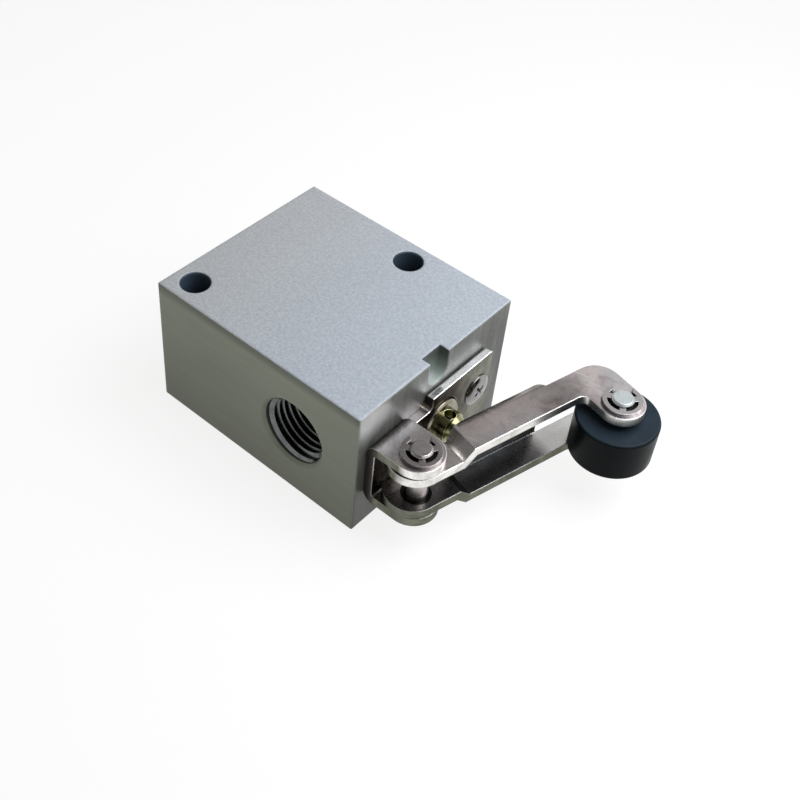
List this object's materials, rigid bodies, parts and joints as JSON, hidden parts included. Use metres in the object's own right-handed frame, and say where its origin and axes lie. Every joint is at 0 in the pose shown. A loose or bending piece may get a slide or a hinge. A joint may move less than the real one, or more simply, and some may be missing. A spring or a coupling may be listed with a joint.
{
  "type": "roller lever mechanical valve",
  "caption": "Compact block-shaped air valve worked by a bent sheet-metal lever with a roller, which pushes a hollow plunger into the body.",
  "frame": {"origin": "centre of the body's large mounting face", "axes": "+X out of the face that carries the lever, +Y away from the outlet port, +Z through the thickness of the body"},
  "size_m": [0.0807, 0.0477, 0.028],
  "materials": {
    "body_metal": "fine blasted satin",
    "plated_sheet": "nickel plated with light wear",
    "plated_steel": "nickel plated",
    "brass": "turned",
    "spring_steel": "drawn wire",
    "seal_rubber": "matte",
    "roller_plastic": "satin moulded"
  },
  "bodies": {
    "housing": {"valve_body": "body_metal", "guide_bush": "brass", "guide_bush_o_ring": "seal_rubber", "plunger_rod_seal": "seal_rubber", "seal_retainer": "brass", "plunger_spring": "spring_steel", "valve_seat": "brass", "valve_seat_o_ring": "seal_rubber", "poppet_spring": "spring_steel", "lever_bracket": "plated_sheet", "bracket_screws": "plated_steel", "pivot_pin": "plated_steel", "pivot_e_ring": "plated_steel"},
    "lever_arm": {"lever": "plated_sheet", "roller_pin": "plated_steel", "roller_e_ring": "plated_steel"},
    "roller_wheel": {"roller": "roller_plastic"},
    "plunger_rod": {"plunger": "brass"},
    "poppet": {"poppet_core": "brass", "poppet_seal": "seal_rubber"}
  },
  "joints": [
    {"name": "lever_swing", "type": "hinge", "parent": "housing", "child": "lever_arm", "pos_m": [0.03177, -0.01355, 0.014], "axis": [0, 0, 1], "range_deg": [0, 12], "stiffness_Nm_per_rad": 0.4, "springref_deg": -20.05},
    {"name": "roller_spin", "type": "hinge", "parent": "lever_arm", "child": "roller_wheel", "pos_m": [0.04922, 0.01974, 0.014], "axis": [0, 0, 1], "continuous": true},
    {"name": "plunger_slide", "type": "slide", "parent": "housing", "child": "plunger_rod", "axis": [-1, 0, 0], "range_m": [0, 0.00277], "deforming": ["plunger_spring"]},
    {"name": "poppet_slide", "type": "slide", "parent": "housing", "child": "poppet", "axis": [-1, 0, 0], "range_m": [0, 0.00165], "deforming": ["poppet_spring"]}
  ],
  "couplings": [
    {"joint": "plunger_slide", "follows": "lever_swing", "m_per_rad": 0.01318},
    {"joint": "poppet_slide", "follows": "lever_swing", "m_per_rad": 0.00764}
  ]
}
